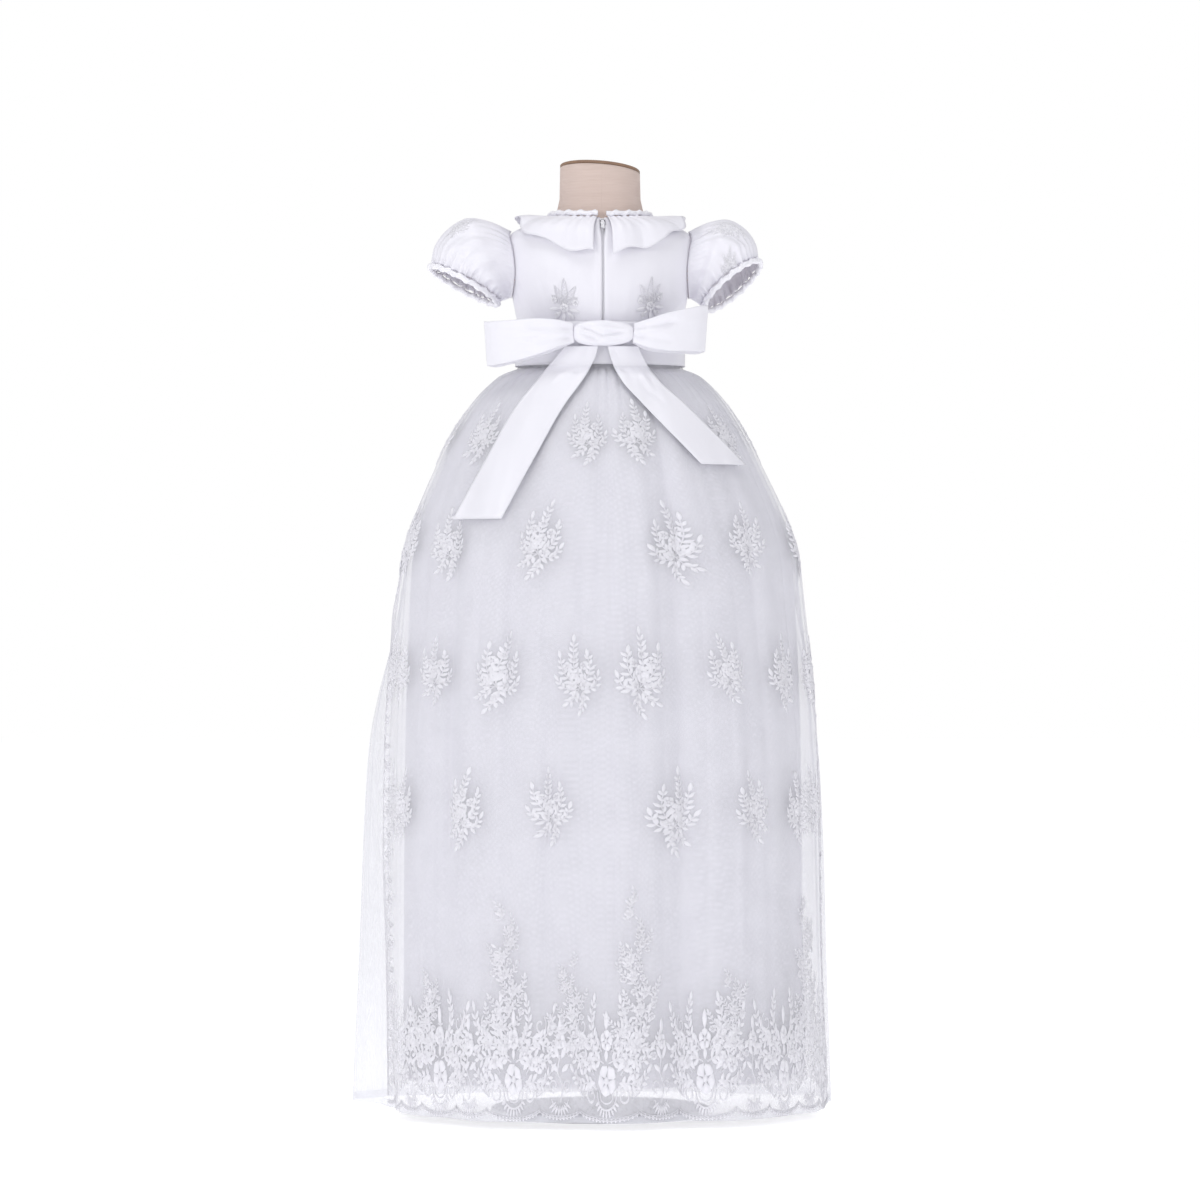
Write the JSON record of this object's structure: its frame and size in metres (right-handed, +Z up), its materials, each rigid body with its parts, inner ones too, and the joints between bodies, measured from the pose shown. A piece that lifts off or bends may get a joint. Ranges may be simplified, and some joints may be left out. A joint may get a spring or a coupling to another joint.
{
  "type": "christening gown on a dress form",
  "caption": "Long white christening gown with puff sleeves, ruffle collar, ribbon bow and scalloped lace skirt, on a limbless dress form with a stand.",
  "frame": {"origin": "on the floor, at the middle of the underside of the stand's round base", "axes": "+Z up, -Y towards the gown's front, +Y towards its back with the zip and bow, +X towards the wearer's left"},
  "size_m": [0.4451, 0.3384, 0.8737],
  "materials": {
    "satin": "soft white satin",
    "tulle": "sheer white tulle",
    "lace": "white net with matt embroidery",
    "braid": "ruched white braid",
    "ribbon": "white satin ribbon",
    "zip_tape": "white woven tape with coil teeth",
    "zip_metal": "small nickel slider and tab",
    "linen": "beige-pink linen cover",
    "cap_wood": "dark stained wood",
    "stand_steel": "satin steel"
  },
  "bodies": {
    "gown": {"bodice_front": "satin", "bodice_back_left": "satin", "bodice_back_right": "satin", "collar": "satin", "sleeve_left": "satin", "sleeve_right": "satin", "skirt_lining": "satin", "tulle_skirt": "tulle", "lace_overlay": "lace", "neck_braid": "braid", "cuff_braid_left": "braid", "cuff_braid_right": "braid", "sash_band": "ribbon", "bow_knot": "ribbon", "bow_loop_left": "ribbon", "bow_loop_right": "ribbon", "bow_tail_left": "ribbon", "bow_tail_right": "ribbon", "zip_strip": "zip_tape", "zip_slider": "zip_metal", "form_torso": "linen", "form_neck_cap": "cap_wood", "form_pole": "stand_steel", "form_base": "stand_steel"},
    "pull": {"zip_pull": "zip_metal"}
  },
  "joints": [
    {"name": "pull_hinge", "type": "hinge", "parent": "gown", "child": "pull", "pos_m": [0, 0.05404, 0.81747], "axis": [1, 0, 0], "range_deg": [0, 120]}
  ]
}
